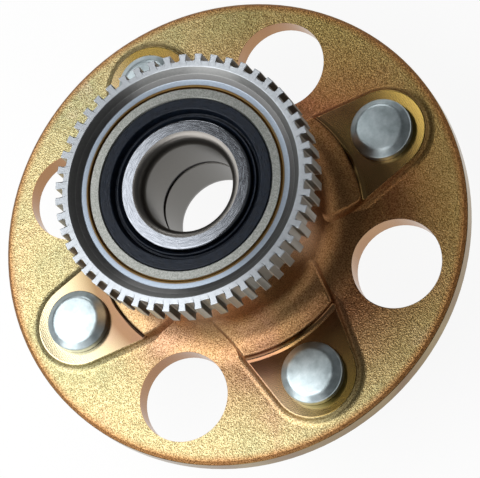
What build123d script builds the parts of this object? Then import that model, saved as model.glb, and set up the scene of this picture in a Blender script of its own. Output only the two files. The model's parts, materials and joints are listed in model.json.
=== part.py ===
"""Wheel hub bearing unit for a non-driven axle.

The outer ring is forged in one with the wheel flange and turns with the wheel.  Two inner
rings sit on a fixed spindle, and two rows of angular-contact balls run between them.

Frame: millimetres, +Z along the hub axis from the wheel side to the vehicle side, origin on
the axis in the outboard mounting face of the flange, +X through the first wheel stud.
"""

import math
import os

from build123d import *

# ---------------------------------------------------------------- driving dimensions

# wheel flange, forged
flange_r = 76.5
flange_t = 7.0
rim_chamfer = 1.0
valley_r = 12.0            # fillet from the flange up to the barrel, seen between the arms
access_hole_r = 14.5
access_circle_r = 56.0
access_count = 4

# four-armed star that carries the stud seats
stud_circle_r = 114.3 / 2
stud_count = 4
seat_h = 2.2               # turned stud seat above the flange
arm_end_r = 14.0           # round end of an arm at seat height
arm_valley_r = 22.5        # hollow side between two arms at seat height, about the access hole
arm_draft = 10.0           # degrees
arm_foot_fillet = 2.5
arm_edge_fillet = 1.0      # forged edge between an arm's top and its side
seat_edge_fillet = 0.6     # edge of the turned seat
foot_web_t = 1.0           # depth to which an arm's foot is rooted in the flange
step_r = 43.6              # where the turned seat stops against the arm
step_h = 2.6
step_fillet = 1.8
cutter_over = 1.0          # how far the turning cut passes the arm's top
arm_ramp_r = 10.0          # fillet from the arm's top up to the barrel

# barrel
barrel_r = 33.5
nose_r = 31.0              # seat of the tone ring
barrel_end_z = 56.0
nose_chamfer = 0.6

# wheel pilot and dust cap seat, outboard
pilot_r = 32.0
pilot_h = 12.0
pilot_chamfer = 1.5
pilot_relief_w = 2.0
pilot_relief_d = 0.5
cap_bore_r = 29.0
cap_chamfer = 0.8

# bearing
split_z = 33.25            # plane where the two inner rings meet
bore_r = 14.0
inner_ring_w = 22.25
inner_land_r = 20.8
inner_low_r = 18.6
inner_chamfer = 1.0
bore_corner_h = 3.9        # large corner radius that clears the spindle's fillet
bore_corner_w = 2.9
outer_land_r = 25.0
seal_bore_r = 27.5
land_chamfer = 0.4
ball_d = 10.319
ball_count = 11
pitch_r = 22.9
row_offset = 8.0           # ball row from the split plane
contact_angle = 35.0
groove_ratio = 0.52        # raceway radius over ball diameter
ball_play = 0.06

# clip ring over the joint of the inner rings
clip_groove_w = 1.8
clip_groove_r = 15.4
clip_t = 0.9
clip_gap = 30.0            # degrees open
clip_play = 0.05

# cages
cage_wall = 3.3
cage_land_gap = 0.35
cage_back = 1.3            # web behind the balls
cage_finger = 3.0          # reach past the balls' centres
pocket_play = 0.2

# seals
seal_depth = 5.5
casing_t = 0.8
casing_inner_r = 23.4
rubber_rim_t = 0.9         # rubber over the casing's rim
rubber_rim_play = 0.05
rubber_round = 0.35
rubber_face_r = 24.0       # inner edge of the flat outer face
seal_sunk = 0.1            # outer face below the barrel's end
lip_groove_depth = 2.5
lip_groove_w = 0.7
lip_ridge_r = 22.1         # dust lip
lip_ridge_t = 0.4
lip_ridge_depth = 1.2
lip_depth = 2.6            # main lip
lip_edge_t = 0.6
lip_back_r = 22.6          # where the main lip's back meets the casing
lip_back_depth = 3.8
lip_play = 0.1

# tone ring
tone_teeth = 50
tone_root_r = 38.7
tone_tip_r = 41.0
tone_phase = 4.2           # first tooth, degrees from +X
tone_w = 10.7
tone_face_z = 58.5
tone_gap_w = 2.75
tone_gap_fillet = 0.5
tone_face_r = 36.9         # inner edge of the toothed face
tone_mid_r = 35.0
tone_ledge_r = 33.2
tone_mid_drop = 2.0        # toothed face down to the conical shelf
tone_shelf_drop = 0.5      # conical shelf down to the ledge
tone_bore_chamfer = 0.4

# wheel studs
stud_r = 6.0
stud_len = 44.0            # under the head
knurl_r = 6.6
head_r = 9.9
head_side_h = 2.7
head_top_h = 2.0
head_flat_r = 7.4
stud_tip_chamfer = 1.2
thread_pitch = 1.5         # M12 x 1.5, drawn as parallel rings
thread_depth = 0.9
thread_crest = 0.2
thread_start = 8.0         # plain shank below the outboard face

# ---------------------------------------------------------------- derived sizes

ball_r = ball_d / 2
groove_r = groove_ratio * ball_d
seat_z = flange_t + seat_h
arm_top_z = seat_z + step_h
knurl_len = seat_z         # the knurl fills the hole and ends in the outboard face
arm_block_h = arm_top_z + arm_ramp_r - flange_t
stud_tip_z = seat_z - stud_len
thread_turns = int((-thread_start - stud_tip_z - stud_tip_chamfer) / thread_pitch)
tone_seat_z = tone_face_z - tone_w
outboard_end_z = 2 * split_z - barrel_end_z
groove_shift = groove_r - ball_r - ball_play
contact_r = groove_shift * math.cos(math.radians(contact_angle))
contact_z = groove_shift * math.sin(math.radians(contact_angle))
cage_outer_r = outer_land_r - cage_land_gap
cage_inner_r = cage_outer_r - cage_wall
pocket_r = ball_r + pocket_play

INBOARD = 1
OUTBOARD = -1
SIDES = {"inboard": INBOARD, "outboard": OUTBOARD}

os.makedirs("parts", exist_ok=True)


# ---------------------------------------------------------------- helpers

def axial(side, distance):
    """Height of a point at a distance from the split plane, on one side of it."""
    return split_z + side * distance


def ring_edges(part, radius, z):
    """The round edges of a part that lie at a radius and a height."""
    return part.edges().filter_by(GeomType.CIRCLE).filter_by(
        lambda edge: abs(edge.radius - radius) < 0.001 and abs(edge.center().Z - z) < 0.001
        and abs(edge.arc_center.X) < 0.001 and abs(edge.arc_center.Y) < 0.001
    )


def save(builder, name):
    """Label a finished piece and write it as a STEP file of the same name."""
    builder.part.label = name
    export_step(builder.part, f"parts/{name}.step")


# ---------------------------------------------------------------- hub flange

# plan of one arm at flange height: round end, straight side, hollow side round the access hole
arm_spread = seat_h * math.tan(math.radians(arm_draft))
arm_foot_r = arm_end_r + arm_spread
hollow_r = arm_valley_r - arm_spread
half_pitch = math.radians(180 / stud_count)
stud_point = Vector(stud_circle_r, 0)
hole_point = Vector(access_circle_r * math.cos(half_pitch), access_circle_r * math.sin(half_pitch))
between = hole_point - stud_point
lean = math.atan2(between.Y, between.X)
side_normal_angle = lean - math.acos((arm_foot_r + hollow_r) / between.length)
side_normal = Vector(math.cos(side_normal_angle), math.sin(side_normal_angle))
end_touch = stud_point + side_normal * arm_foot_r
hollow_touch = hole_point - side_normal * hollow_r
hollow_apex = hole_point * ((access_circle_r - hollow_r) / access_circle_r)
hollow_mid_angle = (math.atan2(-side_normal.Y, -side_normal.X) + half_pitch - math.pi) / 2
hollow_mid = hole_point + Vector(math.cos(hollow_mid_angle), math.sin(hollow_mid_angle)) * hollow_r
end_mid = stud_point + Vector(math.cos(side_normal_angle / 2), math.sin(side_normal_angle / 2)) * arm_foot_r
arm_tip = stud_point + Vector(arm_foot_r, 0)

with BuildSketch() as arm_plan:
    with BuildLine():
        Line((0, 0), arm_tip)
        ThreePointArc(arm_tip, end_mid, end_touch)
        Line(end_touch, hollow_touch)
        ThreePointArc(hollow_touch, hollow_mid, hollow_apex)
        Line(hollow_apex, (0, 0))
    make_face()
    mirror(about=Plane.XZ)

with BuildPart() as star:
    with BuildSketch(Plane.XY.offset(flange_t - foot_web_t)):
        Circle(flange_r)
    extrude(amount=foot_web_t)
    with BuildSketch(Plane.XY.offset(flange_t)):
        with PolarLocations(0, stud_count):
            add(arm_plan.sketch)
    extrude(amount=arm_block_h, taper=arm_draft)
    web_top = star.faces().filter_by(Axis.Z).group_by(Axis.Z)[1][0]
    fillet(web_top.inner_wires()[0].edges(), arm_foot_fillet)
    # forged top: level over the studs, then filleted up into the barrel
    with BuildSketch(Plane.XZ):
        with BuildLine():
            ramp_foot = (barrel_r + arm_ramp_r, arm_top_z)
            ramp_head = (barrel_r, arm_top_z + arm_ramp_r)
            web_r = flange_r - rim_chamfer
            Polyline(ramp_head, (cap_bore_r, arm_top_z + arm_ramp_r), (cap_bore_r, flange_t - foot_web_t),
                     (web_r, flange_t - foot_web_t), (web_r, arm_top_z), ramp_foot)
            RadiusArc(ramp_foot, ramp_head, arm_ramp_r)
        make_face()
    revolve(axis=Axis.Z, mode=Mode.INTERSECT)
    side_edges = star.edges().filter_by(
        lambda edge: edge.center().Z > arm_top_z - 0.001
        and edge.bounding_box().max.Z < arm_top_z + arm_ramp_r - arm_edge_fillet
        and not (edge.geom_type == GeomType.CIRCLE and math.hypot(edge.arc_center.X, edge.arc_center.Y) < 0.001)
    )
    fillet(side_edges, arm_edge_fillet)
    # stud seats, turned after forging
    with BuildSketch(Plane.XZ):
        with BuildLine():
            seat_foot = (step_r + step_fillet, seat_z)
            cut_top_z = arm_top_z + cutter_over
            Polyline(seat_foot, (flange_r, seat_z), (flange_r, cut_top_z), (step_r, cut_top_z),
                     (step_r, seat_z + step_fillet))
            RadiusArc((step_r, seat_z + step_fillet), seat_foot, -step_fillet)
        make_face()
    revolve(axis=Axis.Z, mode=Mode.SUBTRACT)
    seat_edges = star.edges().filter_by(
        lambda edge: abs(edge.bounding_box().min.Z - seat_z) < 0.001
        and abs(edge.bounding_box().max.Z - seat_z) < 0.001
        and math.hypot(edge.center().X, edge.center().Y) > step_r + step_fillet + seat_edge_fillet
    )
    fillet(seat_edges, seat_edge_fillet)

with BuildPart() as hub_flange:
    with BuildSketch(Plane.XZ):
        with BuildLine():
            valley_foot = (barrel_r + valley_r, flange_t)
            valley_head = (barrel_r, flange_t + valley_r)
            RadiusArc(valley_foot, valley_head, valley_r)
            Polyline(
                valley_head,
                (barrel_r, tone_seat_z),
                (nose_r, tone_seat_z),
                (nose_r, barrel_end_z),
                (seal_bore_r, barrel_end_z),
                (seal_bore_r, axial(INBOARD, row_offset)),
                (outer_land_r, axial(INBOARD, row_offset)),
                (outer_land_r, axial(OUTBOARD, row_offset)),
                (seal_bore_r, axial(OUTBOARD, row_offset)),
                (seal_bore_r, outboard_end_z),
                (cap_bore_r, outboard_end_z),
                (cap_bore_r, -pilot_h),
                (pilot_r, -pilot_h),
                (pilot_r, pilot_relief_d),
                (pilot_r + pilot_relief_w, pilot_relief_d),
                (pilot_r + pilot_relief_w, 0),
                (flange_r, 0),
                (flange_r, flange_t),
                valley_foot,
            )
        make_face()
        for side in SIDES.values():
            with Locations((pitch_r - contact_r, axial(side, row_offset + contact_z))):
                Circle(groove_r, mode=Mode.SUBTRACT)
    revolve(axis=Axis.Z)
    chamfer(ring_edges(hub_flange, flange_r, 0) + ring_edges(hub_flange, flange_r, flange_t), rim_chamfer)
    chamfer(ring_edges(hub_flange, pilot_r, -pilot_h), pilot_chamfer)
    chamfer(ring_edges(hub_flange, cap_bore_r, -pilot_h), cap_chamfer)
    chamfer(ring_edges(hub_flange, nose_r, barrel_end_z), nose_chamfer)
    chamfer(ring_edges(hub_flange, seal_bore_r, barrel_end_z), land_chamfer)
    add(star.part)
    with PolarLocations(access_circle_r, access_count, start_angle=180 / stud_count):
        Hole(access_hole_r)
    with PolarLocations(stud_circle_r, stud_count):
        Hole(knurl_r)
save(hub_flange, "hub_flange")

# ---------------------------------------------------------------- tone ring

tone_ledge_z = tone_face_z - tone_mid_drop - tone_shelf_drop

# plan of one gap between two teeth, open past the tips
with BuildSketch() as tooth_gap:
    with Locations((tone_root_r, 0)):
        Rectangle(2 * (tone_tip_r - tone_root_r), tone_gap_w, align=(Align.MIN, Align.CENTER))
    fillet(tooth_gap.vertices().group_by(Axis.X)[0], tone_gap_fillet)

with BuildPart() as tone_ring:
    with BuildSketch(Plane.XZ):
        with BuildLine():
            Polyline(
                (nose_r, tone_seat_z),
                (tone_tip_r, tone_seat_z),
                (tone_tip_r, tone_face_z),
                (tone_face_r, tone_face_z),
                (tone_mid_r, tone_face_z - tone_mid_drop),
                (tone_ledge_r, tone_ledge_z),
                (nose_r, tone_ledge_z),
                close=True,
            )
        make_face()
    revolve(axis=Axis.Z)
    chamfer(ring_edges(tone_ring, nose_r, tone_ledge_z), tone_bore_chamfer)
    with BuildSketch(Plane.XY.offset(tone_seat_z)):
        half_tooth = 180 / tone_teeth
        with PolarLocations(0, tone_teeth, start_angle=tone_phase + half_tooth):
            add(tooth_gap.sketch)
    extrude(amount=tone_w, mode=Mode.SUBTRACT)
save(tone_ring, "tone_ring")

# ---------------------------------------------------------------- wheel studs


def thread_rings():
    """Outline points of the thread, from the plain shank down to the tip."""
    points = []
    for turn in range(thread_turns):
        crest_z = -thread_start - turn * thread_pitch
        points += [
            (stud_r, crest_z),
            (stud_r - thread_depth, crest_z - (thread_pitch - thread_crest) / 2),
            (stud_r, crest_z - (thread_pitch - thread_crest)),
        ]
    return points


def wheel_stud(index):
    """Pressed-in stud: chamfered head on the seat, knurl in the flange, plain shank and thread outboard."""
    angle = math.radians(360 / stud_count * index)
    centre = Vector(stud_circle_r * math.cos(angle), stud_circle_r * math.sin(angle))
    with BuildPart() as stud:
        with BuildSketch(Plane(origin=centre, x_dir=(1, 0, 0), z_dir=(0, -1, 0))):
            with BuildLine():
                Polyline(
                    (0, seat_z + head_side_h + head_top_h),
                    (head_flat_r, seat_z + head_side_h + head_top_h),
                    (head_r, seat_z + head_side_h),
                    (head_r, seat_z),
                    (knurl_r, seat_z),
                    (knurl_r, seat_z - knurl_len),
                    (stud_r, seat_z - knurl_len),
                    *thread_rings(),
                    (stud_r, stud_tip_z + stud_tip_chamfer),
                    (stud_r - stud_tip_chamfer, stud_tip_z),
                    (0, stud_tip_z),
                    close=True,
                )
            make_face()
        revolve(axis=Axis(centre, (0, 0, 1)))
    return stud


for index in range(stud_count):
    save(wheel_stud(index), f"wheel_stud_{index + 1}")

# ---------------------------------------------------------------- inner rings


def inner_ring(side):
    """Ring on the spindle: raceway, seal land, large corner radius at the bore's mouth."""
    face = inner_ring_w
    with BuildPart() as ring:
        with BuildSketch(Plane.XZ):
            with BuildLine():
                corner_foot = (bore_r, axial(side, face - bore_corner_h))
                corner_top = (bore_r + bore_corner_w, axial(side, face))
                TangentArc(corner_foot, corner_top, tangent=(0, side))
                Polyline(
                    corner_top,
                    (inner_land_r - inner_chamfer, axial(side, face)),
                    (inner_land_r, axial(side, face - inner_chamfer)),
                    (inner_land_r, axial(side, row_offset)),
                    (inner_low_r, axial(side, row_offset)),
                    (inner_low_r, axial(side, land_chamfer)),
                    (inner_low_r - land_chamfer, axial(side, 0)),
                    (clip_groove_r, axial(side, 0)),
                    (clip_groove_r, axial(side, clip_groove_w / 2)),
                    (bore_r, axial(side, clip_groove_w / 2)),
                    corner_foot,
                )
            make_face()
            with Locations((pitch_r + contact_r, axial(side, row_offset - contact_z))):
                Circle(groove_r, mode=Mode.SUBTRACT)
        revolve(axis=Axis.Z)
    return ring


with BuildPart() as inner_ring_clip:
    with BuildSketch(Plane.XZ):
        with Locations((clip_groove_r - clip_play, split_z)):
            Rectangle(clip_t, clip_groove_w - 2 * clip_play, align=(Align.MAX, Align.CENTER))
    revolve(axis=Axis.Z, revolution_arc=360 - clip_gap)
save(inner_ring_clip, "inner_ring_clip")

# ---------------------------------------------------------------- balls and cages


def row_turn(side):
    """Angle of a row's first ball in degrees; the two rows stand half a pitch apart."""
    return 0 if side == INBOARD else 180 / ball_count


def ball(side, index):
    """One ball of a row."""
    angle = math.radians(row_turn(side) + 360 / ball_count * index)
    with BuildPart() as sphere:
        with Locations((pitch_r * math.cos(angle), pitch_r * math.sin(angle), axial(side, row_offset))):
            Sphere(ball_r)
    return sphere


def cage(side):
    """Moulded snap cage: a web behind the balls and fingers that reach past their centres."""
    ends = (
        axial(side, row_offset - cage_finger),
        axial(side, row_offset + pocket_r + cage_back),
    )
    with BuildPart() as ring:
        with BuildSketch(Plane.XY.offset(min(ends))):
            Circle(cage_outer_r)
            Circle(cage_inner_r, mode=Mode.SUBTRACT)
        extrude(amount=max(ends) - min(ends))
        with Locations((0, 0, axial(side, row_offset))):
            with PolarLocations(pitch_r, ball_count, start_angle=row_turn(side)):
                Sphere(pocket_r, mode=Mode.SUBTRACT)
    return ring


# ---------------------------------------------------------------- seals

seal_face = barrel_end_z - split_z
seal_back = seal_face - seal_depth
casing_rim_r = seal_bore_r - casing_t
rubber_rim = seal_face - rubber_rim_t
lip_r = inner_land_r + lip_play


def seal_casing(side):
    """Pressed steel ring of L section in the barrel's seal bore."""
    with BuildPart() as casing:
        with BuildSketch(Plane.XZ):
            with BuildLine():
                Polyline(
                    (seal_bore_r, axial(side, seal_back)),
                    (seal_bore_r, axial(side, rubber_rim)),
                    (casing_rim_r, axial(side, rubber_rim)),
                    (casing_rim_r, axial(side, seal_back + casing_t)),
                    (casing_inner_r, axial(side, seal_back + casing_t)),
                    (casing_inner_r, axial(side, seal_back)),
                    close=True,
                )
            make_face()
        revolve(axis=Axis.Z)
    return casing


def seal_rubber(side):
    """Rubber moulded on the casing: flat face, dust lip, and main lip on the inner ring."""
    top = seal_face - seal_sunk
    rim_r = seal_bore_r - rubber_rim_play
    groove_outer_r = lip_ridge_r + lip_ridge_t / 2 + lip_groove_w + lip_ridge_t / 2
    with BuildPart() as rubber:
        with BuildSketch(Plane.XZ):
            with BuildLine():
                Polyline(
                    (casing_rim_r, axial(side, seal_back + casing_t)),
                    (casing_rim_r, axial(side, rubber_rim)),
                    (rim_r, axial(side, rubber_rim)),
                    (rim_r, axial(side, top - rubber_round)),
                    (rim_r - rubber_round, axial(side, top)),
                    (rubber_face_r + rubber_round, axial(side, top)),
                    (rubber_face_r, axial(side, top - rubber_round)),
                    (groove_outer_r, axial(side, seal_face - lip_groove_depth)),
                    (lip_ridge_r + lip_ridge_t, axial(side, seal_face - lip_groove_depth)),
                    (lip_ridge_r + lip_ridge_t / 2, axial(side, seal_face - lip_ridge_depth)),
                    (lip_ridge_r - lip_ridge_t / 2, axial(side, seal_face - lip_ridge_depth)),
                    (lip_r, axial(side, seal_face - lip_depth)),
                    (lip_r, axial(side, seal_face - lip_depth - lip_edge_t)),
                    (lip_back_r, axial(side, seal_face - lip_back_depth)),
                    (casing_inner_r, axial(side, seal_back + casing_t)),
                    close=True,
                )
            make_face()
        revolve(axis=Axis.Z)
    return rubber


for side_name, side in SIDES.items():
    save(inner_ring(side), f"inner_ring_{side_name}")
    for index in range(ball_count):
        save(ball(side, index), f"ball_{side_name}_{index + 1}")
    save(cage(side), f"cage_{side_name}")
    save(seal_casing(side), f"seal_casing_{side_name}")
    save(seal_rubber(side), f"seal_rubber_{side_name}")
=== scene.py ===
"""Wheel hub bearing on a pale floor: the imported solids, dressed and partly replaced by finer surfaces.

Sizes are in millimetres in this script and turn into metres where a mesh, light or camera is made.
The hub's axis is Z, and the side with the toothed ring is up.
"""

import json
import math

import bmesh
import bpy
import numpy as np
from mathutils import Matrix, Vector

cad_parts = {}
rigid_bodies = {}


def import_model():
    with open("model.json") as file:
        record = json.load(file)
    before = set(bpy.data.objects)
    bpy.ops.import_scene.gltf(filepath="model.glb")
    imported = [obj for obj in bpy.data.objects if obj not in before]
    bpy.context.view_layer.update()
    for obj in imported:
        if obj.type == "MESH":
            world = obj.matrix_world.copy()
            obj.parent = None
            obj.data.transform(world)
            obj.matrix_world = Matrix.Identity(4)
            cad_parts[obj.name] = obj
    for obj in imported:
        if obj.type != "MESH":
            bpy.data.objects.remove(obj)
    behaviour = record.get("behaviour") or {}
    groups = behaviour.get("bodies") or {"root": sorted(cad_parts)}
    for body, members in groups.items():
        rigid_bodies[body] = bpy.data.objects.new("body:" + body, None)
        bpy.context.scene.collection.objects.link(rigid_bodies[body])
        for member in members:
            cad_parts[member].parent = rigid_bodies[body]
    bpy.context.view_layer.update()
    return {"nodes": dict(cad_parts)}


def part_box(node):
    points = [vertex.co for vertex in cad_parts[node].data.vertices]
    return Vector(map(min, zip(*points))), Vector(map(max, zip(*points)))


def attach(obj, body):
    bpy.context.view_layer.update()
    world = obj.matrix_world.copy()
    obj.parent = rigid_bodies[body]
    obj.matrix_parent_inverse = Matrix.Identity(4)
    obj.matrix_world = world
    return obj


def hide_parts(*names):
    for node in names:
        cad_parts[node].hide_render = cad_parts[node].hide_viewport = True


for leftover in list(bpy.data.objects):
    bpy.data.objects.remove(leftover)

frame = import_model()
nodes = frame["nodes"]
scene = bpy.context.scene

MM = 0.001
TURN = 2 * math.pi


def span(node):
    """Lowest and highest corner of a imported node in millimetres."""
    low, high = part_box(node)
    return Vector(low) / MM, Vector(high) / MM


# ---------------------------------------------------------------- sizes read from the frame

_, flange_high = span("hub_flange")
tone_low, tone_high = span("tone_ring")
ring_low, ring_high = span("inner_ring_inboard")
_, rubber_high = span("seal_rubber_inboard")
stud_low, stud_high = span("wheel_stud_1")

flange_r = flange_high.x
tone_tip_r = tone_high.y
tone_face_z = tone_high.z
tone_seat_z = tone_low.z
inner_land_r = ring_high.x
ring_face_z = ring_high.z
split_z = ring_low.z
rubber_r = rubber_high.x
rubber_face_z = rubber_high.z
stud_tip_z = stud_low.z
stud_top_z = stud_high.z
stud_circle_r = (stud_low.x + stud_high.x) / 2
head_r = (stud_high.x - stud_low.x) / 2

# ---------------------------------------------------------------- sizes of the visible forms

seat_z = 9.2                     # turned stud seats, and the step that they start from
turned_from_r = 43.6
access_circle_r = 56.0           # the four large holes
access_hole_r = 14.5
nose_r = 31.0                    # barrel's end inside the toothed ring

tone_teeth = 50
tone_root_r = 38.7
tone_gap_w = 2.75
tone_first_tooth = math.radians(4.2)
tone_face_r = 36.9               # face, then the cone in two slopes, then the ledge
tone_mid_r = 35.0
tone_ledge_r = 33.2
tone_mid_z = tone_face_z - 1.7
tone_ledge_z = tone_face_z - 2.5

bore_r = 14.0
ring_mouth_r = bore_r + 1.7      # rounded mouth of the bore, and the ground face outside it
ring_mouth_depth = 3.0
ring_face_from_r = 17.0
ring_low_r = 18.6
raceway_r = 5.366
raceway_centre_r = 23.042
raceway_centre_z = 7.901         # above the split plane
clip_groove_r = 15.4
clip_groove_w = 1.0

rubber_depth = 4.6               # behind the seal's outer face, as are the depths below
rubber_body_r = 26.7
rubber_rim_depth = 0.8
groove_out_r = 24.0              # V groove, narrowing to its floor
groove_floor_out_r = 23.3
groove_floor_in_r = 22.5
groove_depth = 2.6
dust_lip_depth = 1.3
lip_r = 20.9

stud_count = 4
head_side = 2.7                  # height of the head's straight side
dome_r = 7.4                     # head's crown: where it starts, and how much it rises
dome_rise = 0.2
thread_r = 6.0
thread_pitch = 1.5
thread_depth = 0.9
thread_from_z = -8.0             # the thread runs down from here, and ends so far above the tip
thread_end = 1.2
tip_r = 4.75
tip_middle_r = 2.5               # a ring of points on the tip's flat
tip_chamfer = 0.4
knurl_r = 6.6
knurl_depth = 0.12
knurl_splines = 36

# ---------------------------------------------------------------- mesh tools


def rounded(corners, facet=math.radians(15), guard=0.12):
    """Closed outline through corners (r, z, radius), each replaced by the arc that touches both its sides.

    A corner at p between unit directions a and b, with half angle h between them, has its arc's centre
    at p + (a + b) / |a + b| * radius / sin h, and touches the sides radius / tan h from p.  A guard
    point stands a little before and after each arc, so that the flats beside it shade flat.
    """
    outline = []
    for place, (r, z, radius) in enumerate(corners):
        here = np.array([r, z])
        to_last = np.array(corners[place - 1][:2]) - here
        to_next = np.array(corners[(place + 1) % len(corners)][:2]) - here
        room = min(np.linalg.norm(to_last), np.linalg.norm(to_next))
        to_last /= np.linalg.norm(to_last)
        to_next /= np.linalg.norm(to_next)
        half = math.acos(np.clip(to_last @ to_next, -1, 1)) / 2
        reach = radius / math.tan(half)
        middle = (to_last + to_next) / np.linalg.norm(to_last + to_next)
        centre = here + middle * radius / math.sin(half)
        start, end = here + to_last * reach, here + to_next * reach
        first = math.atan2(*(start - centre)[::-1])
        swing = (math.atan2(*(end - centre)[::-1]) - first + math.pi) % TURN - math.pi
        steps = max(2, math.ceil(abs(swing) / facet))
        angles = first + swing * np.arange(steps + 1) / steps
        arc = centre + radius * np.stack([np.cos(angles), np.sin(angles)], axis=1)
        lead = min(guard, 0.3 * (room - reach))
        outline += [start + to_last * lead, *arc, end + to_next * lead]
    return np.array(outline)


def surface(name, points, lay, close_last=True):
    """Mesh over a grid of points (n, m, 3) in millimetres, joined round its first index, and round its
    second where close_last; otherwise both ends of the second are points on the axis, and are welded.

    lay is (n + 1, m + 1, 2): where each grid line lies along the piece in millimetres, for its UV map.
    Faces point outwards: their order is turned round where the enclosed volume comes out negative.
    """
    n, m = points.shape[:2]
    a, b = np.meshgrid(np.arange(n), np.arange(m if close_last else m - 1), indexing="ij")
    ring = [(a, b), (a + 1, b), (a + 1, b + 1), (a, b + 1)]
    faces = np.stack([(i % n) * m + j % m for i, j in ring], axis=-1).reshape(-1, 4)
    uv = np.stack([lay[i, j] for i, j in ring], axis=2).reshape(-1, 4, 2)
    flat = points.reshape(-1, 3) * MM
    corner = [flat[faces[:, k]] for k in range(4)]
    volume = sum(
        np.einsum("ij,ij->", corner[0], np.cross(corner[k], corner[k + 1])) for k in (1, 2)
    )
    if volume < 0:
        faces, uv = faces[:, ::-1], uv[:, ::-1]
    mesh = bpy.data.meshes.new(name)
    mesh.vertices.add(len(flat))
    mesh.vertices.foreach_set("co", flat.ravel())
    mesh.loops.add(faces.size)
    mesh.loops.foreach_set("vertex_index", faces.ravel())
    mesh.polygons.add(len(faces))
    mesh.polygons.foreach_set("loop_start", np.arange(0, faces.size, 4))
    mesh.uv_layers.new(name="lay").data.foreach_set("uv", uv.ravel())
    mesh.update(calc_edges=True)
    if not close_last:
        welded = bmesh.new()
        welded.from_mesh(mesh)
        bmesh.ops.remove_doubles(welded, verts=welded.verts, dist=1e-7)
        welded.to_mesh(mesh)
        welded.free()
    mesh.validate()
    mesh.shade_smooth()
    piece = bpy.data.objects.new(name, mesh)
    scene.collection.objects.link(piece)
    return piece


def laid(around, mean_r, steps):
    """Lay of a grid that goes round: distance round at a mean radius, and steps added up along it."""
    turned = np.arange(around + 1) / around * TURN * mean_r
    walked = np.concatenate([[0.0], np.cumsum(steps)])
    return np.stack(np.meshgrid(turned, walked, indexing="ij"), axis=-1)


def sides(outline):
    """Length of each side of a closed outline, the last one back to its start."""
    return np.linalg.norm(np.roll(outline, -1, axis=0) - outline, axis=1)


def revolved(name, outline, around=360):
    """Closed outline (r, z) carried round the axis: x = r cos t, y = r sin t, with t even."""
    t = np.arange(around)[:, None] / around * TURN
    r, z = outline[None, :, 0], outline[None, :, 1]
    points = np.stack([r * np.cos(t), r * np.sin(t), z + 0 * t], axis=-1)
    return surface(name, points, laid(around, outline[:, 0].mean(), sides(outline)))


# ---------------------------------------------------------------- material tools


def linear(colour):
    """sRGB hex colour as linear RGBA."""
    parts = np.array([int(colour[k:k + 2], 16) for k in (1, 3, 5)]) / 255
    parts = np.where(parts <= 0.04045, parts / 12.92, ((parts + 0.055) / 1.055) ** 2.4)
    return (*parts, 1.0)


def per_metre(size):
    """Noise scale in Object coordinates whose features are about so many millimetres."""
    return 1 / (size * MM)


def new_material(name):
    """Empty node material: its tree, with nothing in it."""
    material = bpy.data.materials.new(name)
    material.use_nodes = True
    material.node_tree.nodes.clear()
    return material, material.node_tree


def add(tree, kind, inputs=None, stops=None, **settings):
    """Shader node of a kind with settings; each input is a value or the socket that feeds it.

    stops are the (place, hex colour) points of a colour ramp.
    """
    node = tree.nodes.new("ShaderNode" + kind)
    for key, value in settings.items():
        setattr(node, key, value)
    for key, value in (inputs or {}).items():
        if isinstance(value, bpy.types.NodeSocket):
            tree.links.new(value, node.inputs[key])
        else:
            node.inputs[key].default_value = value
    if stops:
        while len(node.color_ramp.elements) < len(stops):
            node.color_ramp.elements.new(0.5)
        for element, (place, colour) in zip(node.color_ramp.elements, stops):
            element.position = place
            element.color = linear(colour)
    return node


# sockets of the Mix node that share their names: first and second colour and mixed colour, and the
# same three for plain values
COLOUR_A, COLOUR_B, COLOUR = 6, 7, 2
VALUE_A, VALUE_B, VALUE = 2, 3, 0


def from_axis(tree, place):
    """Level part of a place on the hub, and its distance from the axis, both in metres."""
    level = add(tree, "VectorMath", {0: place, 1: (1, 1, 0)}, operation="MULTIPLY").outputs[0]
    return level, add(tree, "VectorMath", {0: level}, operation="LENGTH").outputs["Value"]


def tool_rings(tree, radius, pitch):
    """Wave of turned rings, the sine of radius / pitch turns, with the pitch in millimetres.

    A real tool's feed is some 0.2 mm; the pitches asked for are coarser, so that the rings show.
    """
    turns = add(tree, "Math", {0: radius, 1: TURN / (pitch * MM)}, operation="MULTIPLY").outputs[0]
    return add(tree, "Math", {0: turns}, operation="SINE").outputs[0]


# ---------------------------------------------------------------- materials


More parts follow.
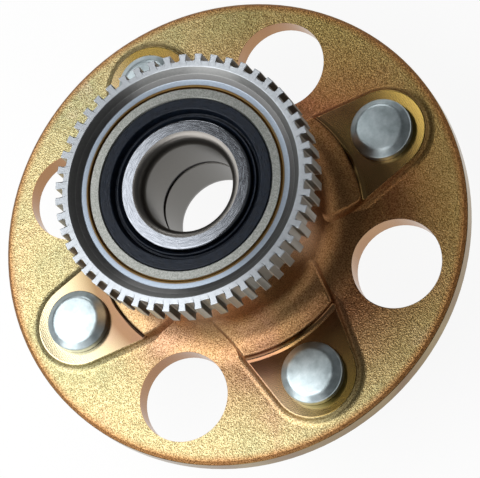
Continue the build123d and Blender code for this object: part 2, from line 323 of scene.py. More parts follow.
def turned_areas(tree, height, radius, level):
    """Masks of the forging's turned, bored and rounded areas, each told by where it lies."""
    folded = add(tree, "VectorMath", {0: level}, operation="ABSOLUTE").outputs[0]
    hole_offset = access_circle_r * math.cos(math.radians(45)) * MM
    from_hole = add(
        tree, "VectorMath", {0: folded, 1: (hole_offset, hole_offset, 0)}, operation="DISTANCE"
    ).outputs["Value"]
    tests = {
        "above_seat": (height, "GREATER_THAN", seat_z - 0.05),
        "past_step": (radius, "GREATER_THAN", turned_from_r - 0.02),
        "end_face": (height, "GREATER_THAN", tone_seat_z + 0.1),
        "outboard": (height, "LESS_THAN", 0.6),
        "rim": (radius, "GREATER_THAN", flange_r - 0.15),
        "rolled": (radius, "GREATER_THAN", flange_r - 1.1),
        "inside": (radius, "LESS_THAN", nose_r - 0.5),
        "nose_edge": (radius, "GREATER_THAN", nose_r - 0.5),
        "bored": (from_hole, "LESS_THAN", access_hole_r + 0.03),
    }
    areas = {
        name: add(tree, "Math", {0: value, 1: limit * MM}, operation=test).outputs[0]
        for name, (value, test, limit) in tests.items()
    }
    areas["seats"] = add(
        tree, "Math", {0: areas["above_seat"], 1: areas["past_step"]}, operation="MULTIPLY"
    ).outputs[0]
    areas["rolled"] = add(
        tree, "Math", {0: areas["rolled"], 1: areas["rim"]}, operation="SUBTRACT"
    ).outputs[0]
    areas["turned"] = areas["seats"]
    for name in ("end_face", "outboard", "rim", "inside", "bored"):
        areas["turned"] = add(
            tree, "Math", {0: areas["turned"], 1: areas[name]}, operation="MAXIMUM"
        ).outputs[0]
    return areas


def blasted_film(tree, level, radius, x, drift, grain):
    """Colour of the blasted skin: gold, pink or copper on the neck, darker olive and copper towards +X as
    painted shade, and copper where the flange rolls over its edge, partly the film's own and partly painted
    shade; the pits make it darker grain by grain.
    """
    gold = add(tree, "ValToRGB", {"Fac": drift}, stops=[
        (0.28, "#CAAE8A"), (0.42, "#D4C698"), (0.52, "#CCC396"), (0.62, "#BFBB90"), (0.75, "#D8CAAA"),
    ]).outputs["Color"]
    pink, copper, olive = [
        add(tree, "ValToRGB", {"Fac": drift}, stops=list(zip((0.3, 0.5, 0.7), shades))).outputs["Color"]
        for shades in (
            ("#B48670", "#BC9068", "#B89468"),
            ("#AE6038", "#B46C3E", "#B47A44"),
            ("#B08A50", "#B29A58", "#AC9650"),
        )
    ]
    neck_centre = (10 * MM, -5 * MM, 0)
    from_neck = add(tree, "VectorMath", {0: level, 1: neck_centre}, operation="DISTANCE").outputs["Value"]
    neck = add(tree, "MapRange", {
        "Value": from_neck, "From Min": 42 * MM, "From Max": 70 * MM, "To Min": 0.9, "To Max": 0.0,
    }).outputs["Result"]
    # painted shade: the film darkens to olive and copper towards +X, the side away from the overhead lamp
    painted_shade_side = add(tree, "MapRange", {
        "Value": x, "From Min": -15 * MM, "From Max": 60 * MM, "To Max": 0.75,
    }).outputs["Result"]
    # partly the film's copper and partly painted shade: a darker copper where the flange rolls over its edge,
    # standing in for an edge rounder than the mesh
    edge = add(tree, "MapRange", {
        "Value": radius, "From Min": (flange_r - 3.2) * MM, "From Max": (flange_r - 0.9) * MM, "To Max": 0.85,
    }).outputs["Result"]
    flat_film = add(
        tree, "Mix", {"Factor": painted_shade_side, COLOUR_A: gold, COLOUR_B: olive}, data_type="RGBA"
    ).outputs[COLOUR]
    neck_film = add(
        tree, "Mix", {"Factor": painted_shade_side, COLOUR_A: pink, COLOUR_B: copper}, data_type="RGBA"
    ).outputs[COLOUR]
    film = add(
        tree, "Mix", {"Factor": neck, COLOUR_A: flat_film, COLOUR_B: neck_film}, data_type="RGBA"
    ).outputs[COLOUR]
    film = add(
        tree, "Mix", {"Factor": edge, COLOUR_A: film, COLOUR_B: linear("#B07A4A")}, data_type="RGBA"
    ).outputs[COLOUR]
    speckle = add(
        tree, "ValToRGB", {"Fac": grain}, stops=[(0.34, "#8C7A60"), (0.5, "#D6CEC0"), (0.66, "#FFFFFF")]
    ).outputs["Color"]
    return add(
        tree, "Mix", {"Factor": 0.8, COLOUR_A: film, COLOUR_B: speckle},
        data_type="RGBA", blend_type="MULTIPLY",
    ).outputs[COLOUR]


def turned_film(tree, areas, radius, x, drift, grain):
    """Colour of the turned areas: seats paler outwards and split by side into painted lit and shaded copies
    of their colour, a brown rim darkened as painted shade, copper bores, and the barrel's bare grey end with
    a gold edge.
    """
    near_side_outer_seat, near_side_inner_seat, far_side_inner_seat, rim_film_and_shade, bored_film, end_grain = [
        add(tree, "ValToRGB", {"Fac": mottle}, stops=stops).outputs["Color"]
        for mottle, stops in (
            (drift, [(0.3, "#DCCAB4"), (0.6, "#DCCEA8")]),
            (drift, [(0.3, "#6E5244"), (0.5, "#705640"), (0.7, "#6C5C3E")]),
            (drift, [(0.3, "#A0745A"), (0.5, "#9E7650"), (0.7, "#9C7E4E")]),
            # rim: brown film, darkened as painted shade of its wall
            (drift, [(0.3, "#6E4C2A"), (0.5, "#80673A"), (0.7, "#8F7A4C")]),
            (drift, [(0.3, "#99693F"), (0.7, "#B08456")]),
            (grain, [(0.35, "#70726E"), (0.65, "#8D8F8B")]),
        )
    ]
    # painted light and shade: seats on the -X side, under the overhead lamp, get a pale outer and a dark
    # inner copy of their colour, the others a dark gold outer and a lighter inner one
    painted_light_split = add(tree, "MapRange", {"Value": x, "From Min": -35 * MM, "From Max": 0.0}).outputs["Result"]
    towards_neck = add(tree, "MapRange", {
        "Value": radius, "From Min": 48 * MM, "From Max": 67 * MM, "To Min": 1.0, "To Max": 0.0,
    }).outputs["Result"]
    outer = add(
        tree, "Mix", {"Factor": painted_light_split, COLOUR_A: near_side_outer_seat, COLOUR_B: linear("#86703A")}, data_type="RGBA"
    ).outputs[COLOUR]
    inner = add(
        tree, "Mix", {"Factor": painted_light_split, COLOUR_A: near_side_inner_seat, COLOUR_B: far_side_inner_seat}, data_type="RGBA"
    ).outputs[COLOUR]
    end_film = add(
        tree, "Mix", {"Factor": areas["nose_edge"], COLOUR_A: end_grain, COLOUR_B: linear("#8A6C40")},
        data_type="RGBA",
    ).outputs[COLOUR]
    film = outer
    for area, area_film in (
        (towards_neck, inner), (areas["rim"], rim_film_and_shade), (areas["bored"], bored_film),
        (areas["end_face"], end_film),
    ):
        film = add(
            tree, "Mix", {"Factor": area, COLOUR_A: film, COLOUR_B: area_film}, data_type="RGBA"
        ).outputs[COLOUR]
    return film


def yellow_zinc_forging():
    """Yellow-chromated zinc over a shot-blasted steel forging, turned bright on its seats and faces.

    The chromate film gives gold with drifts of copper and olive; the blasted skin is finely pitted, so
    it glitters in a close light; turned faces are smoother, with fainter pits and fine tool rings, and
    the stud seats shade as a shallow dish that rises towards the flange's edge.
    """
    material, tree = new_material("yellow_zinc_forging")
    place = add(tree, "TexCoord").outputs["Object"]
    axes = add(tree, "SeparateXYZ", {"Vector": place}).outputs
    level, radius = from_axis(tree, place)
    areas = turned_areas(tree, axes["Z"], radius, level)
    # slow drifts of the film over some 26 mm, pits of about half a millimetre, drawn as coarse as they
    # need to show, and low lumps of 7 mm under them
    drift = add(tree, "TexNoise", {
        "Vector": place, "Scale": per_metre(26), "Detail": 4.0, "Roughness": 0.55, "Distortion": 0.4,
    }).outputs["Fac"]
    grain = add(tree, "TexNoise", {"Vector": place, "Scale": per_metre(0.42), "Detail": 1.5}).outputs["Fac"]
    lumps = add(tree, "TexNoise", {"Vector": place, "Scale": per_metre(7), "Detail": 2.0}).outputs["Fac"]
    skin = blasted_film(tree, level, radius, axes["X"], drift, grain)
    bright = turned_film(tree, areas, radius, axes["X"], drift, grain)
    colour = add(
        tree, "Mix", {"Factor": areas["turned"], COLOUR_A: skin, COLOUR_B: bright}, data_type="RGBA"
    ).outputs[COLOUR]

    roughness = add(
        tree, "MapRange", {"Value": areas["turned"], "To Min": 0.36, "To Max": 0.2}
    ).outputs["Result"]
    for name, duller in (("end_face", 0.17), ("rolled", 0.24)):
        roughness = add(
            tree, "Math", {0: areas[name], 1: duller, 2: roughness}, operation="MULTIPLY_ADD"
        ).outputs[0]

    # relief in shares of the pits' depth: the seat's dish is a power of the way outwards across it
    pit_depth = 0.12
    dish_rise = 1.25
    dish_power = 2.2
    pits = add(tree, "Math", {0: lumps, 1: 0.5, 2: grain}, operation="MULTIPLY_ADD").outputs[0]
    outward = add(tree, "MapRange", {
        "Value": radius, "From Min": (stud_circle_r - 5) * MM, "From Max": (stud_circle_r + 14) * MM,
    }).outputs["Result"]
    outward = add(tree, "Math", {0: outward, 1: areas["seats"]}, operation="MULTIPLY").outputs[0]
    dish = add(tree, "Math", {0: outward, 1: dish_power}, operation="POWER").outputs[0]
    smooth = add(tree, "Math", {0: dish, 1: dish_rise / pit_depth}, operation="MULTIPLY").outputs[0]
    for wave, share in ((tool_rings(tree, radius, 0.6), 0.01), (pits, 0.12)):
        smooth = add(tree, "Math", {0: wave, 1: share, 2: smooth}, operation="MULTIPLY_ADD").outputs[0]
    relief = add(
        tree, "Mix", {"Factor": areas["turned"], VALUE_A: pits, VALUE_B: smooth}
    ).outputs[VALUE]
    bump = add(
        tree, "Bump", {"Height": relief, "Strength": 1.0, "Distance": pit_depth * MM}
    ).outputs["Normal"]
    shader = add(tree, "BsdfPrincipled", {
        "Base Color": colour, "Metallic": 1.0, "Roughness": roughness, "Normal": bump,
    }).outputs["BSDF"]
    add(tree, "OutputMaterial", {"Surface": shader})
    return material


def turned_tone_steel():
    """Zinc-plated turned steel of the toothed ring: bright and bluish on its face and ledge, darkened as
    painted shade on its cone and between its teeth, with a painted highlight line at the cone's middle
    corner, gold where the barrel's film touches it.

    Fine turned rings stretch its reflections along them, as brushed metal does.
    """
    material, tree = new_material("turned_tone_steel")
    place = add(tree, "TexCoord").outputs["Object"]
    height = add(tree, "SeparateXYZ", {"Vector": place}).outputs["Z"]
    _, radius = from_axis(tree, place)
    grain = add(tree, "TexNoise", {"Vector": place, "Scale": per_metre(0.7), "Detail": 2.0}).outputs["Fac"]
    colour = add(
        tree, "ValToRGB", {"Fac": grain}, stops=[(0.3, "#A2A7AC"), (0.7, "#ABB0B5")]
    ).outputs["Color"]
    roughness = add(tree, "MapRange", {
        "Value": grain, "From Min": 0.3, "From Max": 0.7, "To Min": 0.32, "To Max": 0.36,
    }).outputs["Result"]

    # bands from the barrel's nose out to the face: film, ledge, the cone's two slopes, and the face; the
    # darker slopes and the dark line past the ledge are painted shade, and the bright line at the cone's
    # middle corner is a painted highlight
    bands_to_r = tone_face_r + 0.1
    bands = [
        (nose_r + 0.54, "#8C6C3E"), (nose_r + 0.9, "#C8D2DE"),
        (tone_ledge_r + 0.02, "#DCE4EE"), (tone_ledge_r + 0.26, "#7E7A76"),
        (tone_mid_r - 0.16, "#8C8884"), (tone_mid_r + 0.02, "#B8B4AE"), (tone_mid_r + 0.26, "#A4A09A"),
        (tone_face_r - 0.2, "#BAB6B0"), (tone_face_r + 0.04, "#FFFFFF"),
    ]
    across = add(tree, "MapRange", {
        "Value": radius, "From Min": nose_r * MM, "From Max": bands_to_r * MM,
    }).outputs["Result"]
    bands_with_painted_shade = add(tree, "ValToRGB", {"Fac": across}, stops=[
        ((r - nose_r) / (bands_to_r - nose_r), shade) for r, shade in bands
    ]).outputs["Color"]
    colour = add(
        tree, "Mix", {"Factor": 1.0, COLOUR_A: colour, COLOUR_B: bands_with_painted_shade},
        data_type="RGBA", blend_type="MULTIPLY",
    ).outputs[COLOUR]

    # painted shade: the milled flanks and the gaps' floors, below the face, are darkened greyer and browner
    # than the face
    below = add(tree, "Math", {0: height, 1: (tone_face_z - 0.25) * MM}, operation="LESS_THAN").outputs[0]
    outside = add(tree, "Math", {0: radius, 1: (tone_root_r - 0.1) * MM}, operation="GREATER_THAN").outputs[0]
    painted_shade_flanks = add(tree, "Math", {0: below, 1: outside}, operation="MULTIPLY").outputs[0]
    colour = add(
        tree, "Mix", {"Factor": painted_shade_flanks, COLOUR_A: colour, COLOUR_B: linear("#8A847B")}, data_type="RGBA"
    ).outputs[COLOUR]
    rings = tool_rings(tree, radius, 0.45)
    bump = add(tree, "Bump", {"Height": rings, "Strength": 1.0, "Distance": 0.003 * MM}).outputs["Normal"]
    round_axis = add(tree, "Tangent", direction_type="RADIAL", axis="Z").outputs["Tangent"]
    shader = add(tree, "BsdfPrincipled", {
        "Base Color": colour, "Metallic": 1.0, "Roughness": roughness, "Normal": bump,
        "Anisotropic": 0.85, "Anisotropic Rotation": 0.25, "Tangent": round_axis,
    }).outputs["BSDF"]
    add(tree, "OutputMaterial", {"Surface": shader})
    return material


def ground_bearing_steel():
    """Ground through-hardened steel: bright blue-grey face with short slanting grinding marks, a darker
    honed bore, and a duller rounded mouth between them.
    """
    material, tree = new_material("ground_bearing_steel")
    _, radius = from_axis(tree, add(tree, "TexCoord").outputs["Object"])
    # marks some 2.5 mm long and 0.25 mm wide, drawn coarser than a grinding wheel leaves them
    lay = add(tree, "UVMap", uv_map="lay").outputs["UV"]
    stretched = add(tree, "Mapping", {
        "Vector": lay, "Rotation": (0.0, 0.0, math.radians(65)), "Scale": (1 / 2.5, 1 / 0.25, 1.0),
    }).outputs["Vector"]
    marks = add(tree, "TexNoise", {"Vector": stretched, "Scale": 1.0, "Detail": 2.0}).outputs["Fac"]
    on_face = add(tree, "Math", {0: radius, 1: ring_face_from_r * MM}, operation="GREATER_THAN").outputs[0]
    in_bore = add(tree, "Math", {0: radius, 1: (bore_r + 0.2) * MM}, operation="LESS_THAN").outputs[0]
    face = add(
        tree, "ValToRGB", {"Fac": marks}, stops=[(0.35, "#6C7076"), (0.65, "#92969D")]
    ).outputs["Color"]
    honed = add(
        tree, "ValToRGB", {"Fac": marks}, stops=[(0.3, "#686662"), (0.7, "#706E69")]
    ).outputs["Color"]
    colour = add(
        tree, "Mix", {"Factor": on_face, COLOUR_A: linear("#75726E"), COLOUR_B: face}, data_type="RGBA"
    ).outputs[COLOUR]
    colour = add(
        tree, "Mix", {"Factor": in_bore, COLOUR_A: colour, COLOUR_B: honed}, data_type="RGBA"
    ).outputs[COLOUR]
    roughness = add(tree, "MapRange", {
        "Value": marks, "From Min": 0.3, "From Max": 0.7, "To Min": 0.325, "To Max": 0.38,
    }).outputs["Result"]
    roughness = add(tree, "Math", {0: on_face, 1: -0.18, 2: roughness}, operation="MULTIPLY_ADD").outputs[0]
    scratch = add(tree, "Math", {0: marks, 1: on_face}, operation="MULTIPLY").outputs[0]
    bump = add(tree, "Bump", {"Height": scratch, "Strength": 0.1, "Distance": 0.05 * MM}).outputs["Normal"]
    shader = add(tree, "BsdfPrincipled", {
        "Base Color": colour, "Metallic": 1.0, "Roughness": roughness, "Normal": bump,
    }).outputs["BSDF"]
    add(tree, "OutputMaterial", {"Surface": shader})
    return material


def nitrile_rubber():
    """Moulded nitrile rubber: nearly black, slightly blue, its sheen broken by fine marks of the mould
    that run round it.
    """
    material, tree = new_material("nitrile_rubber")
    place = add(tree, "TexCoord").outputs["Object"]
    flow = add(tree, "TexNoise", {"Vector": place, "Scale": per_metre(1.5), "Detail": 3.0}).outputs["Fac"]
    colour = add(
        tree, "ValToRGB", {"Fac": flow}, stops=[(0.3, "#04070D"), (0.7, "#0B131E")]
    ).outputs["Color"]
    # marks some 3 mm long and 0.3 mm wide
    lay = add(tree, "UVMap", uv_map="lay").outputs["UV"]
    stretched = add(tree, "Mapping", {"Vector": lay, "Scale": (1 / 3.0, 1 / 0.3, 1.0)}).outputs["Vector"]
    marks = add(tree, "TexNoise", {"Vector": stretched, "Scale": 1.0, "Detail": 3.0}).outputs["Fac"]
    roughness = add(tree, "MapRange", {
        "Value": marks, "From Min": 0.35, "From Max": 0.65, "To Min": 0.55, "To Max": 0.25,
    }).outputs["Result"]
    bump = add(tree, "Bump", {"Height": marks, "Strength": 0.8, "Distance": 0.12 * MM}).outputs["Normal"]
    shader = add(tree, "BsdfPrincipled", {
        "Base Color": colour, "Roughness": roughness, "IOR": 1.37, "Specular Tint": linear("#D4DBE8"),
        "Normal": bump,
    }).outputs["BSDF"]
    add(tree, "OutputMaterial", {"Surface": shader})
    return material


def clear_zinc_stud():
    """Clear-chromated zinc on cold-headed steel: pale blue-grey and satin, with small dull patches."""
    material, tree = new_material("clear_zinc_stud")
    place = add(tree, "TexCoord").outputs["Object"]
    patches = add(tree, "TexNoise", {
        "Vector": place, "Scale": per_metre(3), "Detail": 5.0, "Roughness": 0.65,
    }).outputs["Fac"]
    colour = add(
        tree, "ValToRGB", {"Fac": patches}, stops=[(0.3, "#A0AEB2"), (0.55, "#B9C6CA"), (0.75, "#CCD6D9")]
    ).outputs["Color"]
    roughness = add(tree, "MapRange", {"Value": patches, "To Min": 0.28, "To Max": 0.46}).outputs["Result"]
    bump = add(tree, "Bump", {"Height": patches, "Strength": 0.3, "Distance": 0.08 * MM}).outputs["Normal"]
    shader = add(tree, "BsdfPrincipled", {
        "Base Color": colour, "Metallic": 1.0, "Roughness": roughness, "Normal": bump,
    }).outputs["BSDF"]
    add(tree, "OutputMaterial", {"Surface": shader})
    return material


def mottled(name, size, dark, light, low, high, **inputs):
    """Plain finish of the hidden inner pieces: two shades and two roughnesses mixed by fine noise."""
    material, tree = new_material(name)
    place = add(tree, "TexCoord").outputs["Object"]
    mottle = add(tree, "TexNoise", {"Vector": place, "Scale": per_metre(size), "Detail": 3.0}).outputs["Fac"]
    colour = add(tree, "ValToRGB", {"Fac": mottle}, stops=[(0.3, dark), (0.7, light)]).outputs["Color"]
    roughness = add(tree, "MapRange", {"Value": mottle, "To Min": low, "To Max": high}).outputs["Result"]
    shader = add(
        tree, "BsdfPrincipled", {"Base Color": colour, "Roughness": roughness, **inputs}
    ).outputs["BSDF"]
    add(tree, "OutputMaterial", {"Surface": shader})
    return material


forging = yellow_zinc_forging()
tone_steel = turned_tone_steel()
ground_steel = ground_bearing_steel()
rubber = nitrile_rubber()
stud_zinc = clear_zinc_stud()
# lapped balls nearly mirror, pressed seal casings and the dark oiled clip are satin, and the
# glass-filled nylon of the cages is cream and half matt
polished_steel = mottled("polished_ball_steel", 1.2, "#B9B9BC", "#CFCFD2", 0.08, 0.14, Metallic=1.0)
pressed_steel = mottled("pressed_seal_steel", 1.2, "#8C8C8E", "#A6A6A8", 0.3, 0.42, Metallic=1.0)
spring_steel = mottled("dark_spring_steel", 1.2, "#3A3A3C", "#545456", 0.35, 0.5, Metallic=1.0)
nylon = mottled("moulded_nylon", 1.0, "#C9BE9E", "#DDD4B8", 0.4, 0.55, IOR=1.53)


def dress(piece, material, body, record_slot, *replaced):
    """Gives a new piece its material and its body, and hides the nodes that it stands for; record_slot is not
    used.
    """
    piece.data.materials.clear()
    piece.data.materials.append(material)
    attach(piece, body)
    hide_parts(*replaced)


# ---------------------------------------------------------------- hub flange, balls, cages, casings

carried_over = {
    "hub_flange": forging,
    "inner_ring_clip": spring_steel,
    "cage_inboard": nylon,
    "cage_outboard": nylon,
    "seal_casing_inboard": pressed_steel,
    "seal_casing_outboard": pressed_steel,
    **{name: polished_steel for name in nodes if name.startswith("ball_")},
}
for name, material in carried_over.items():
    nodes[name].material_slots[0].material = material

# ---------------------------------------------------------------- tone ring


def tooth_outline():
    """Outline of the toothed rim, (points, 2), with each corner rounded.

    One tooth and the gap after it are drawn in a frame turned to the gap's middle: the gap's floor is
    a chord at the root radius, its walls run parallel to the frame's axis, and the tip is an arc.
    The same points are then turned to every gap.
    """
    pitch = TURN / tone_teeth
    half_gap = tone_gap_w / 2
    floor_round, tip_round, guard = 0.5, 0.25, 0.08
    tip_angle = math.asin(half_gap / tone_tip_r)
    flat = half_gap - floor_round
    floor = np.column_stack([np.full(5, tone_root_r), [-flat, guard - flat, 0, flat - guard, flat]])
    quarter = np.linspace(0, math.pi / 2, 5)
    up_corner = np.stack([
        tone_root_r + floor_round * (1 - np.cos(quarter)),
        half_gap - floor_round * (1 - np.sin(quarter)),
    ], axis=1)
    wall = np.array([
        [tone_root_r + floor_round + guard, half_gap],
        [tone_tip_r - tip_round - guard, half_gap],
    ])
    tip_corner = np.stack([
        tone_tip_r - tip_round * (1 - np.sin(quarter)),
        half_gap + tip_round * (1 - np.cos(quarter)),
    ], axis=1)
    crest = np.array([tip_angle + (tip_round + guard) / tone_tip_r, pitch / 2])
    crest = tone_tip_r * np.stack([np.cos(crest), np.sin(crest)], axis=1)
    rise = np.concatenate([up_corner[1:], wall, tip_corner, crest])
    fall = rise[::-1][1:] * [1, -1]
    gap = np.concatenate([fall, floor, rise])
    middle = tone_first_tooth + pitch * (np.arange(tone_teeth) + 0.5)
    cos, sin = np.cos(middle)[:, None], np.sin(middle)[:, None]
    x, y = gap[None, :, 0], gap[None, :, 1]
    return np.stack([x * cos - y * sin, x * sin + y * cos], axis=-1).reshape(-1, 2)


def tone_ring():
    """Toothed ring: its section is carried round the toothed outline.

    Station by station, a point is the rim's outline moved inwards along its normal (edge rounding), or
    lies on a plain circle (face, cone, ledge, bore), with the angle shared out evenly over the outline.
    """
    rim = tooth_outline()
    ahead = np.roll(rim, -1, axis=0) - np.roll(rim, 1, axis=0)
    inward = np.stack([-ahead[:, 1], ahead[:, 0]], axis=1) / np.linalg.norm(ahead, axis=1)[:, None]
    share = tone_first_tooth + (np.arange(len(rim)) + 0.5) / len(rim) * TURN
    circle = np.stack([np.cos(share), np.sin(share)], axis=1)
    edge, guard = 0.15, 0.05
    # how far inwards, and how far from the flat face, each station of a rounded edge lies
    rounded_edge = [(edge + guard, 0.0)]
    for angle in np.linspace(math.pi / 2, 0, 5):
        rounded_edge.append((edge * (1 - math.cos(angle)), edge * (1 - math.sin(angle))))
    lower = [(rim + inward * into, tone_seat_z + deep) for into, deep in rounded_edge]
    upper = [(rim + inward * into, tone_face_z - deep) for into, deep in rounded_edge[::-1]]
    wall = [(rim, z) for z in (tone_seat_z + edge + guard, tone_face_z - edge - guard)]
    section = rounded([
        (tone_face_r, tone_face_z, 0.25),
        (tone_mid_r, tone_mid_z, 0.5),
        (tone_ledge_r, tone_ledge_z, 0.3),
        (nose_r, tone_ledge_z, 0.3),
        (nose_r, tone_seat_z, 0.2),
        (tone_root_r, tone_seat_z, 0.2),
        (tone_root_r, tone_face_z, 0.2),
    ])
    inside = [(circle * r, z) for r, z in section if r < tone_root_r - 1]
    stations = lower + wall + upper + inside
    points = np.stack([np.column_stack([xy, np.full(len(xy), z)]) for xy, z in stations], axis=1)
    steps = np.linalg.norm(np.roll(points, -1, axis=1) - points, axis=2).mean(axis=0)
    return surface("toothed_ring", points, laid(len(rim), tone_face_r, steps))


dress(tone_ring(), tone_steel, "hub", "tone_steel", "tone_ring")

# ---------------------------------------------------------------- inner rings


def inner_ring(name, node, side):
    """Ground ring: rounded mouth of the bore, seal land, straight raceway and low shoulder.

    The section is carried round the axis. Its raceway is the straight line between the points where the
    balls' groove would cut the land and the shoulder, so the balls, out of sight, reach into it.
    side is 1 for the ring above the split plane and -1 for the one below, mirrored in that plane.
    """
    width = ring_face_z - split_z
    groove_start = math.sqrt(raceway_r**2 - (raceway_centre_r - inner_land_r) ** 2)
    groove_end = math.sqrt(raceway_r**2 - (raceway_centre_r - ring_low_r) ** 2)
    section = rounded([
        (bore_r, clip_groove_w, 0.2),
        (bore_r, width - ring_mouth_depth, 6.0),
        (ring_mouth_r, width, 2.2),
        (inner_land_r, width, 0.7),
        (inner_land_r, raceway_centre_z + groove_start, 0.1),
        (ring_low_r, raceway_centre_z - groove_end, 0.1),
        (ring_low_r, 0.0, 0.3),
        (clip_groove_r, 0.0, 0.1),
        (clip_groove_r, clip_groove_w, 0.1),
    ])
    piece = revolved(name, section * [1, side] + [0, split_z])
    dress(piece, ground_steel, "inner_race", "ground_steel", node)


inner_ring("ground_ring_inboard", "inner_ring_inboard", 1)
inner_ring("ground_ring_outboard", "inner_ring_outboard", -1)

# ---------------------------------------------------------------- seal rubbers


def seal_rubber(name, node, side):
    """Rubber seal: its section, carried round the axis, has a flat outer face with a rounded rim, a V
    groove, the dust lip and the main lip.

    side is 1 for the seal above the split plane and -1 for the one below, mirrored in that plane.
    """
    face = rubber_face_z - split_z
    section = rounded([
        (rubber_body_r, face - rubber_depth, 0.1),
        (rubber_body_r, face - rubber_rim_depth, 0.1),
        (rubber_r, face - rubber_rim_depth, 0.1),
        (rubber_r, face, 0.35),
        (groove_out_r, face, 0.35),
        (groove_floor_out_r, face - groove_depth, 0.3),
        (groove_floor_in_r, face - groove_depth, 0.2),
        (groove_floor_in_r - 0.2, face - dust_lip_depth, 0.08),
        (lip_r + 1.0, face - dust_lip_depth, 0.08),
        (lip_r, face - 2.7, 0.15),
        (lip_r, face - 3.3, 0.15),
        (lip_r + 1.7, face - 3.9, 0.3),
        (lip_r + 2.5, face - rubber_depth, 0.2),
    ])
    piece = revolved(name, section * [1, side] + [0, split_z])
    dress(piece, rubber, "hub", "seal_rubber", node)


seal_rubber("rubber_seal_inboard", "seal_rubber_inboard", 1)
seal_rubber("rubber_seal_outboard", "seal_rubber_outboard", -1)

# ---------------------------------------------------------------- wheel studs


def wheel_stud(index):
    """Cold-headed stud: round head on the seat, splined shoulder, and a rolled thread to a chamfered tip.

    Radius is a profile over height; on the shank it drops by the thread depth times a trapezoid of
    height / pitch - angle / turn, and on the shoulder it carries a cosine of the angle for the splines.
    """
    angle = TURN / stud_count * index
    centre_x, centre_y = stud_circle_r * math.cos(angle), stud_circle_r * math.sin(angle)
    around = 2 * knurl_splines
    head = rounded([
        (1.0, seat_z, 0.01),
        (head_r, seat_z, 0.3),
        (head_r, seat_z + head_side, 0.9),
        (dome_r, stud_top_z - dome_rise, 2.2),
        (1.0, stud_top_z, 0.01),
    ])
    head = head[head[:, 0] > knurl_r + 0.05]
    crown_r = np.linspace(0.8, 0.0, 3)
    crown = np.column_stack([crown_r, stud_top_z - dome_rise * (crown_r / dome_r) ** 2])
    shoulder = np.column_stack([np.full(4, knurl_r), np.linspace(0.0, seat_z - 0.02, 4)])
    shank_z = np.arange(stud_tip_z + thread_end, thread_from_z, thread_pitch / 8)
    shank = np.column_stack([np.full(len(shank_z), thread_r), shank_z])
    plain = np.array([[thread_r, thread_from_z + 0.1], [thread_r, -0.02]])
    tip = np.array([
        [0.0, stud_tip_z],
        [tip_middle_r, stud_tip_z],
        [tip_r, stud_tip_z],
        [thread_r - thread_depth, stud_tip_z + tip_chamfer],
    ])
    profile = np.concatenate([tip, shank, plain, shoulder, head, crown])
    t = np.arange(around)[:, None] / around * TURN
    z = profile[None, :, 1]
    r = profile[None, :, 0] + 0 * t
    cycle = (z / thread_pitch - t / TURN) % 1
    flank = np.clip(np.abs(cycle - 0.5) * 2.6 - 0.2, 0, 1)
    fade = np.clip((thread_from_z - z) / thread_pitch, 0, 1) * (r > thread_r - 0.05)
    r = r - thread_depth * flank * fade
    on_shoulder = (np.abs(profile[None, :, 0] - knurl_r) < 0.01) & (z < seat_z)
    r = r - on_shoulder * knurl_depth * (1 + np.cos(knurl_splines * t)) / 2
    points = np.stack([centre_x + r * np.cos(t), centre_y + r * np.sin(t), z + 0 * t], axis=-1)
    lay = laid(around, thread_r, sides(profile))
    piece = surface(f"stud_{index + 1}", points, lay, close_last=False)
    dress(piece, stud_zinc, "hub", "stud_steel", f"wheel_stud_{index + 1}")


for index in range(stud_count):
    wheel_stud(index)

# ---------------------------------------------------------------- floor, background and lights

white = (1.0, 1.0, 1.0, 1.0)


def seen_white(tree):
    """Factor that is 1 for rays from the camera and for mirror and glass rays, and 0 for all others."""
    path = add(tree, "LightPath").outputs
    seen = path["Is Camera Ray"]
    for kind in ("Is Glossy Ray", "Is Transmission Ray"):
        seen = add(tree, "Math", {0: seen, 1: path[kind]}, operation="MAXIMUM").outputs[0]
    return seen


def studio_floor():
    """Pale sheet under the part: matt white, lifted towards white where it is seen, keeping the shadow."""
    half = 3000 * MM
    z = stud_tip_z * MM
    corners = [(-half, -half, z), (half, -half, z), (half, half, z), (-half, half, z)]
    mesh = bpy.data.meshes.new("studio_floor")
    mesh.from_pydata(corners, [], [(0, 1, 2, 3)])
    sheet = bpy.data.objects.new("studio_floor", mesh)
    scene.collection.objects.link(sheet)
    material, tree = new_material("white_paper")
    matt = add(tree, "BsdfDiffuse", {"Color": linear("#E8E8E8")}).outputs["BSDF"]
    glow = add(tree, "Emission", {"Color": white, "Strength": seen_white(tree)}).outputs["Emission"]
    both = add(tree, "MixShader", {"Fac": 0.92, 1: matt, 2: glow}).outputs["Shader"]
    add(tree, "OutputMaterial", {"Surface": both})
    mesh.materials.append(material)


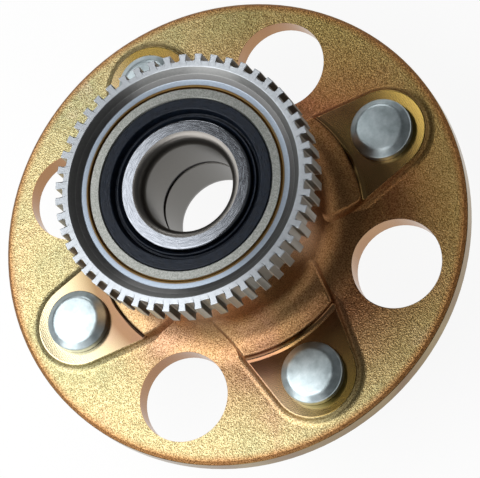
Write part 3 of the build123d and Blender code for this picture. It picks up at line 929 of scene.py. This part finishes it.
def studio_world():
    """White backdrop where it is seen near the horizon, and a dim neutral room above."""
    world = bpy.data.worlds.new("studio")
    world.use_nodes = True
    tree = world.node_tree
    tree.nodes.clear()
    direction = add(tree, "TexCoord").outputs["Generated"]
    height = add(tree, "SeparateXYZ", {"Vector": direction}).outputs["Z"]
    low = add(tree, "MapRange", {
        "Value": height, "From Min": 0.02, "From Max": 0.14, "To Min": 1.0, "To Max": 0.0,
    }).outputs["Result"]
    factor = add(tree, "Math", {0: seen_white(tree), 1: low}, operation="MULTIPLY").outputs[0]
    strength = add(tree, "MapRange", {"Value": factor, "To Min": 0.09, "To Max": 0.95}).outputs["Result"]
    back = add(tree, "Background", {"Color": white, "Strength": strength}).outputs["Background"]
    add(tree, "OutputWorld", {"Surface": back})
    scene.world = world


def soft_light(name, place, aim, width, height, power):
    """Rectangular soft light at a place, turned to an aim; both in millimetres."""
    lamp = bpy.data.lights.new(name, "AREA")
    lamp.shape = "RECTANGLE"
    lamp.size, lamp.size_y = width * MM, height * MM
    lamp.energy = power
    holder = bpy.data.objects.new(name, lamp)
    holder.location = Vector(place) * MM
    holder.rotation_euler = (Vector(place) - Vector(aim)).to_track_quat("Z", "Y").to_euler()
    scene.collection.objects.link(holder)


hub_middle = (0, 0, 20)

studio_floor()
studio_world()
soft_light("overhead", (-374, 10, 450), (-374, 10, 0), 640, 680, 4.8)
soft_light("front", (-360, -500, 190), hub_middle, 500, 250, 0.55)
soft_light("side", (-560, -220, 260), hub_middle, 320, 260, 0.6)
soft_light("rear", (190, 540, 400), hub_middle, 240, 180, 0.5)

# ---------------------------------------------------------------- camera

camera_azimuth = math.radians(-74.85)      # direction from the hub to the camera
camera_elevation = math.radians(65.94)
camera_roll = math.radians(-46.14)
camera_distance = 1050.4
camera_aim = Vector((-0.27, -1.01, -0.40))
camera_focal = 246.5
camera_sensor = 36.0

back = Vector((
    math.cos(camera_elevation) * math.cos(camera_azimuth),
    math.cos(camera_elevation) * math.sin(camera_azimuth),
    math.sin(camera_elevation),
))
camera_data = bpy.data.cameras.new("camera")
camera_data.sensor_width = camera_sensor
camera_data.lens = camera_focal
camera = bpy.data.objects.new("camera", camera_data)
turned_camera = back.to_track_quat("Z", "Y").to_matrix() @ Matrix.Rotation(camera_roll, 3, "Z")
camera.matrix_world = Matrix.Translation((camera_aim + back * camera_distance) * MM) @ turned_camera.to_4x4()
scene.collection.objects.link(camera)
scene.camera = camera

scene.view_settings.view_transform = "Standard"
